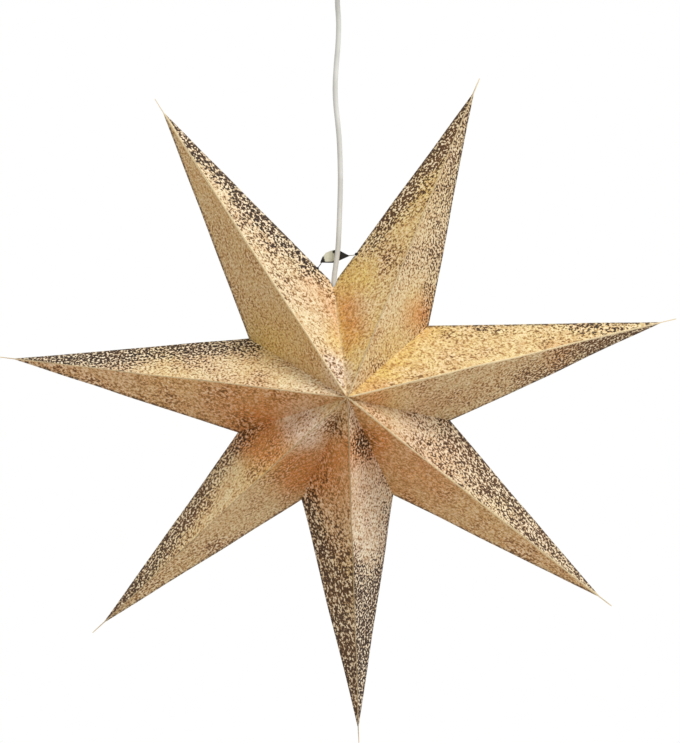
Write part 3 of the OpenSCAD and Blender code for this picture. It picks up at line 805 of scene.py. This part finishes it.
# %% Threads and knots
BALLS = [(4.5, 6.0), (0.9, 3.6)]  # how far inside the fold, and the diameter
THREAD = 0.7
THREAD_SIDES = 10
THREAD_SAG = 0.3
WINDING = 2600  # radians for each metre, so the turns on a knot are 2.4 mm apart
WINDING_LEAN = 0.6
WINDING_DEPTH = 0.07
RIBBON_ENDS = {(1, RIGHT): (-18.0, 118.0), (2, LEFT): (5.0, 123.8)}
parts = []
for (point, side), up in TIE_UP.items():
    x, z = RIBBON_ENDS[point, side]
    end = STAR + Vector((x, BOW_BEHIND + RIBBON_WAVE, z)) * MM
    inside, mouth = (fold_place(point, side, up, depth) for depth, _ in BALLS)
    sagging = (mouth + end) / 2 - Vector((0, 0, THREAD_SAG * MM))
    parts.append(tube("thread", [inside, mouth, sagging, end], THREAD * MM, THREAD_SIDES))
    for knot, (_, size) in zip((inside, mouth), BALLS):
        deselect_all()
        bpy.ops.mesh.primitive_uv_sphere_add(segments=24, ring_count=16, radius=size / 2 * MM,
                                             location=knot)
        bpy.ops.object.transform_apply(location=True)
        ball = bpy.context.object
        for vertex in ball.data.vertices:
            wound = math.sin(WINDING * (vertex.co.x + WINDING_LEAN * vertex.co.z))
            swell = 1 - WINDING_DEPTH + WINDING_DEPTH * wound
            vertex.co = knot + (vertex.co - knot) * swell
        parts.append(ball)
deselect_all()
for part in (*parts, tie):
    part.select_set(True)
bpy.context.view_layer.objects.active = tie
bpy.ops.object.join()
bpy.ops.object.shade_smooth_by_angle(angle=SMOOTH_TO)
print("tie faces", len(tie.data.polygons))

# %% Dye, painted shadow of the cord, and weave
BLACK_LEFT = -14.6
BLACK_LEAN = 0.35
BLACK_EDGE = 1.0
# The two small dark spots beside the cord, where the ribbon goes behind it, are painted shadow of
# the cord
CORD_SHADOW_SPOTS = [(-7.5, 127.3, 1.3), (-7.5, 118.4, 1.0)]
THREAD_GREY = 0.4
THREAD_ABOVE = 115.5
THREAD_TO = 9.5
dye_and_shadow = []
for vertex in tie.data.vertices:
    x, _, z = (vertex.co - STAR) / MM
    low, _ = ribbon_edges(x)
    at_left = x < BLACK_LEFT - BLACK_LEAN * (z - low)
    at_edge = z < low + BLACK_EDGE and x < CORD_X
    in_cord_shadow = any(math.hypot(x - a, z - b) < size for a, b, size in CORD_SHADOW_SPOTS)
    on_thread = x < ribbon_start and z > THREAD_ABOVE or ribbon_end < x < THREAD_TO
    black_here = at_left or at_edge or in_cord_shadow or x > CORD_X + 1
    dye_and_shadow.append(THREAD_GREY if on_thread else 1.0 if black_here else 0.0)
tie.data.attributes.new("dye_and_shadow", "FLOAT", "POINT").data.foreach_set("value", dye_and_shadow)
print("dyed black", dye_and_shadow.count(1.0), "of", len(dye_and_shadow), "corners")

# Cotton tape is woven from threads 0.5 mm apart. They are drawn 0.9 mm apart here, so that they
# show as a fine rib, and the surface is matt.
tape, tree, shader = new_material("woven cotton tape", "d9d6bd", 0.9)
place = add_node(tree, "TexCoord").outputs["Object"]
weft = add_node(tree, "TexWave", {"Vector": place, "Scale": 350.0, "Distortion": 1.5})
# Black here is dye, but for the two spots beside the cord, which are painted shadow
shade = add_node(tree, "Attribute", attribute_name="dye_and_shadow").outputs["Fac"]
cream = add_node(tree, "Mix", {0: weft, 6: "c4c2a6", 7: "e4e1cc"}, data_type="RGBA")
black = add_node(tree, "Mix", {0: weft, 6: "0d0c0a", 7: "26221c"}, data_type="RGBA")
feed(tree, shader, {
    "Base Color": add_node(tree, "Mix", {0: shade, 6: cream, 7: black}, data_type="RGBA"),
    "Normal": add_node(tree, "Bump", {"Height": weft, "Strength": 0.4, "Distance": 0.0002}),
})
tie.data.materials.clear()
tie.data.materials.append(tape)
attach(tie, "root")
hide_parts("closing_tie")

# %% [markdown]
# ## The lampholder and the lamp
# Inside the star, a plastic lampholder hangs on the cord and carries the card on its shoulder.
# Its shapes are right in the CAD model, so only the finishes are made here. Each takes its
# colour changes from noise, at the size that moulding, firing or stamping gives.

# %% White plastic
# Injection-moulded ABS: bright white with a soft gloss, and the very faint orange peel that a
# mould leaves, 1.5 mm across.
plastic, tree, shader = new_material("injection-moulded white ABS", "f0efea", 0.35, ior=1.53)
place = add_node(tree, "TexCoord").outputs["Object"]
peel = add_node(tree, "TexNoise", {"Vector": place, "Scale": 1 / 0.0015, "Detail": 1.0})
handled = add_node(tree, "TexNoise", {"Vector": place, "Scale": 1 / 0.02, "Detail": 3.0})
feed(tree, shader, {
    "Base Color": add_node(tree, "Mix", {0: handled, 6: "e7e5dd", 7: "f6f5f1"},
                           data_type="RGBA"),
    "Roughness": add_node(tree, "MapRange", {"Value": handled, "To Min": 0.28, "To Max": 0.45}),
    "Normal": add_node(tree, "Bump", {"Height": peel, "Strength": 0.12, "Distance": 0.00004}),
})
dress(plastic, "cord_bush", "lampholder_cap", "lampholder_body", "ceiling_cup",
      "cup_cord_grip", "cup_grip_nut")

# %% Ceramic and brass
# Steatite is pressed and fired without glaze: off-white and matt, with fine dark specks.
ceramic, tree, shader = new_material("unglazed steatite ceramic", "e6dfd0", 0.7)
place = add_node(tree, "TexCoord").outputs["Object"]
grit = add_node(tree, "TexVoronoi", {"Vector": place, "Scale": 1 / 0.0014})
speck = add_node(tree, "MapRange", {"Value": grit, "From Min": 0.12, "From Max": 0.22})
feed(tree, shader, {
    "Base Color": add_node(tree, "Mix", {0: speck, 6: "b5aa97", 7: "e8e1d3"}, data_type="RGBA"),
    "Normal": add_node(tree, "Bump", {"Height": grit, "Strength": 0.15, "Distance": 0.00005}),
})
dress(ceramic, "contact_base")

# Brass strip is rolled and then stamped, so it has fine lines and darker stains of handling.
brass, tree, shader = new_material("stamped brass", "cda95a", 0.3, metallic=1.0)
place = add_node(tree, "TexCoord").outputs["Object"]
rolled = add_node(tree, "Mapping", {"Vector": place, "Scale": (1.0, 1.0, 0.1)})
lines = add_node(tree, "TexNoise", {"Vector": rolled, "Scale": 1 / 0.0006, "Detail": 2.0})
stain = add_node(tree, "TexNoise", {"Vector": place, "Scale": 1 / 0.008, "Detail": 3.0})
feed(tree, shader, {
    "Base Color": add_node(tree, "Mix", {0: stain, 6: "b38c3f", 7: "e0c27a"}, data_type="RGBA"),
    "Roughness": add_node(tree, "MapRange", {"Value": lines, "To Min": 0.22, "To Max": 0.42}),
})
dress(brass, "centre_contact", "screw_shell")

# %% Lamp
# One sealed lamp: a nickel-plated cap with a rolled thread above, and an opal glass bulb below.
# The height tells them apart. Opal glass is white and glossy, and it scatters light inside.
CAP_LENGTH = 21.0
THREAD_PITCH = 3.6
cap_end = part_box("lamp")[1][2] - CAP_LENGTH * MM
lamp_finish, tree, shader = new_material("opal glass and nickel-plated cap", "f6f3ea", 0.15)
place = add_node(tree, "TexCoord").outputs["Object"]
height = add_node(tree, "SeparateXYZ", {"Vector": place}).outputs["Z"]
is_cap = add_node(tree, "MapRange", {"Value": height, "From Min": cap_end - 0.1 * MM,
                                     "From Max": cap_end + 0.1 * MM})
turns = add_node(tree, "Math", {0: height, 1: 2 * math.pi / (THREAD_PITCH * MM)},
                 operation="MULTIPLY")
thread_wave = add_node(tree, "Math", {0: turns}, operation="SINE")
thread_wave = add_node(tree, "Math", {0: thread_wave, 1: is_cap}, operation="MULTIPLY")
feed(tree, shader, {
    "Base Color": add_node(tree, "Mix", {0: is_cap, 6: "f6f3ea", 7: "c9c6bf"},
                           data_type="RGBA"),
    "Metallic": is_cap,
    "Roughness": add_node(tree, "MapRange", {"Value": is_cap, "To Min": 0.12, "To Max": 0.28}),
    "Normal": add_node(tree, "Bump", {"Height": thread_wave, "Strength": 0.6,
                                      "Distance": 0.0006}),
})
dress(lamp_finish, "lamp")

# %% [markdown]
# ## The ceiling fitting
# Above the photograph's edge, the cord goes through a grip into a white cup. A zinc-plated
# bracket and two side screws hold the cup, and the wires end in a nylon terminal block.

# %% Zinc and nylon
# Zinc plating on steel is a cool grey metal with faint cloudy crystals, about 2 mm across.
zinc, tree, shader = new_material("zinc-plated steel", "bcc0c4", 0.35, metallic=1.0)
place = add_node(tree, "TexCoord").outputs["Object"]
crystal = add_node(tree, "TexVoronoi", {"Vector": place, "Scale": 1 / 0.002}).outputs["Color"]
bloom = add_node(tree, "RGBToBW", {"Color": crystal})
feed(tree, shader, {
    "Base Color": add_node(tree, "Mix", {0: bloom, 6: "aab0b6", 7: "cdcfd0"}, data_type="RGBA"),
    "Roughness": add_node(tree, "MapRange", {"Value": bloom, "To Min": 0.28, "To Max": 0.45}),
})
dress(zinc, "ceiling_bracket", "cup_side_screws")

# Nylon is a little yellow and waxy, with a soft texture from the mould.
nylon, tree, shader = new_material("moulded natural nylon", "ece8db", 0.5, ior=1.53)
place = add_node(tree, "TexCoord").outputs["Object"]
waxy = add_node(tree, "TexNoise", {"Vector": place, "Scale": 1 / 0.003, "Detail": 2.0})
feed(tree, shader, {
    "Base Color": add_node(tree, "Mix", {0: waxy, 6: "e2dcc9", 7: "f2efe4"}, data_type="RGBA"),
    "Normal": add_node(tree, "Bump", {"Height": waxy, "Strength": 0.15, "Distance": 0.00005}),
})
dress(nylon, "terminal_block")

# %% [markdown]
# ## Floor and light
# The star hangs in a plain white room. The world is plain white where the camera sees it, and
# dimmer where it lights the card, so that no facet clips. One large soft lamp from the upper
# right gives the facets that face it a little more light, as in the photograph.

# %% Floor
FLOOR_Z = -1.3
FLOOR_SIZE = 8.0
bpy.ops.mesh.primitive_plane_add(size=FLOOR_SIZE, location=(0, 0, FLOOR_Z))
floor = bpy.context.object
floor.name = "floor"
floor_material, tree, shader = new_material("matt pale floor", "f0efec", 0.8)
place = add_node(tree, "TexCoord").outputs["Object"]
dust = add_node(tree, "TexNoise", {"Vector": place, "Scale": 1 / 0.6, "Detail": 2.0})
feed(tree, shader, {"Base Color": add_node(tree, "Mix", {0: dust, 6: "eeedea", 7: "f2f1ee"},
                                           data_type="RGBA")})
floor.data.materials.append(floor_material)
print("floor at", FLOOR_Z, "m")

# %% Light
FILL = 0.68
KEY_ENERGY = 38.0
KEY_PLACE = (1.0, -1.2, 1.6)
KEY_SIZE = 1.0
world = bpy.data.worlds.new("studio")
bpy.context.scene.world = world
world.use_nodes = True
tree = world.node_tree
rays = add_node(tree, "LightPath")
seen = add_node(tree, "Math", {0: rays.outputs["Is Camera Ray"],
                               1: rays.outputs["Is Glossy Ray"]}, operation="MAXIMUM")
seen = add_node(tree, "Math", {0: seen, 1: rays.outputs["Is Transmission Ray"]},
                operation="MAXIMUM")
feed(tree, tree.nodes["Background"], {
    "Color": "ffffff",
    "Strength": add_node(tree, "MapRange", {"Value": seen, "To Min": FILL, "To Max": 1.0}),
})
bpy.ops.object.light_add(type="AREA", location=KEY_PLACE)
key = bpy.context.object
key.name = "key"
key.data.energy = KEY_ENERGY
key.data.size = KEY_SIZE
key.rotation_mode = "QUATERNION"
key.rotation_quaternion = (STAR - key.location).to_track_quat("-Z", "Y")
bpy.context.scene.view_settings.view_transform = "Standard"
print("fill", FILL, "key", KEY_ENERGY, "W")
